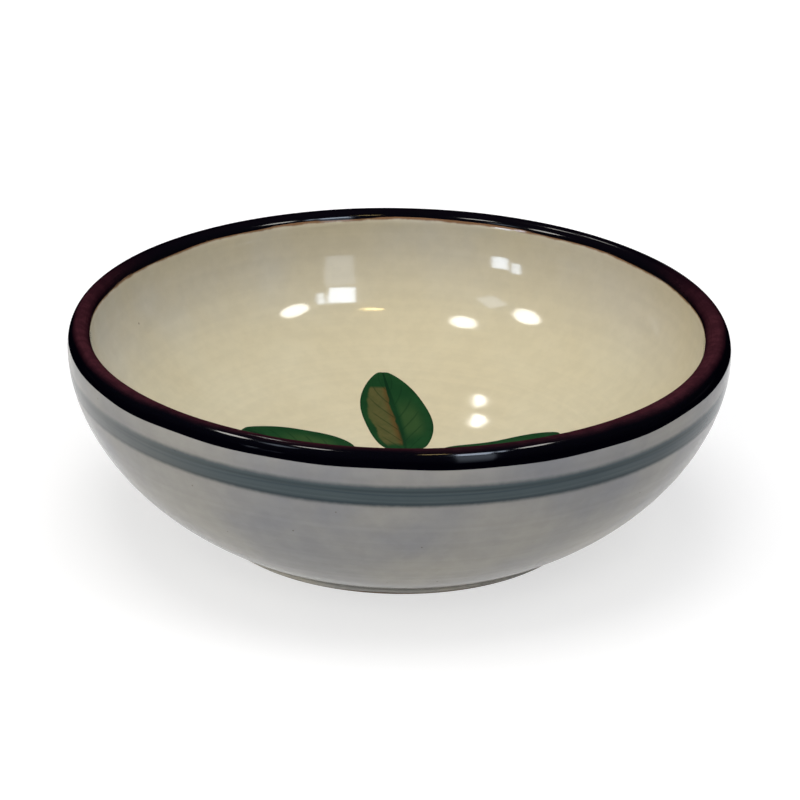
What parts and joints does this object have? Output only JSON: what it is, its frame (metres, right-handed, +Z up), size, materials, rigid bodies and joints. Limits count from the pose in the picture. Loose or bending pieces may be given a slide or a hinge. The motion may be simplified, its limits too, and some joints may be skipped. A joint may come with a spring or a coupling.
{
  "type": "cereal bowl",
  "caption": "Round glazed stoneware cereal bowl with a rounded wall, low foot ring, dark rim, grey band outside and brushed leaves in the well.",
  "frame": {"origin": "middle of the circle that the foot ring stands on, at table height", "axes": "+Z up, along the axis the bowl was turned on; +Y away from the viewer of the picture, +X to the viewer's right"},
  "size_m": [0.16, 0.16, 0.0512],
  "materials": {
    "bare_clay": "unglazed fired stoneware on the wiped foot ring",
    "cream_glaze": "glossy cream glaze with faint throwing rings",
    "white_glaze": "satin cool grey-white glaze with fine specks",
    "grey_band": "brushed blue-grey band under a clear glaze",
    "plum_glaze": "very glossy plum glaze, redder where it thins over the lip",
    "leaf_green": "brushed deep green under a clear glaze",
    "rosette_plum": "brushed plum under a clear glaze",
    "rosette_ochre": "brushed ochre under a clear glaze"
  },
  "bodies": {
    "root": {"clay_body": "bare_clay", "inside_glaze": "cream_glaze", "outside_glaze": "white_glaze", "shoulder_glaze": "white_glaze", "underside_glaze": "white_glaze", "grey_band": "grey_band", "rim_glaze": "plum_glaze", "leaf_1": "leaf_green", "leaf_2": "leaf_green", "leaf_3": "leaf_green", "leaf_4": "leaf_green", "leaf_5": "leaf_green", "leaf_6": "leaf_green", "rosette_petals": "rosette_plum", "rosette_eye": "rosette_ochre"}
  },
  "joints": []
}
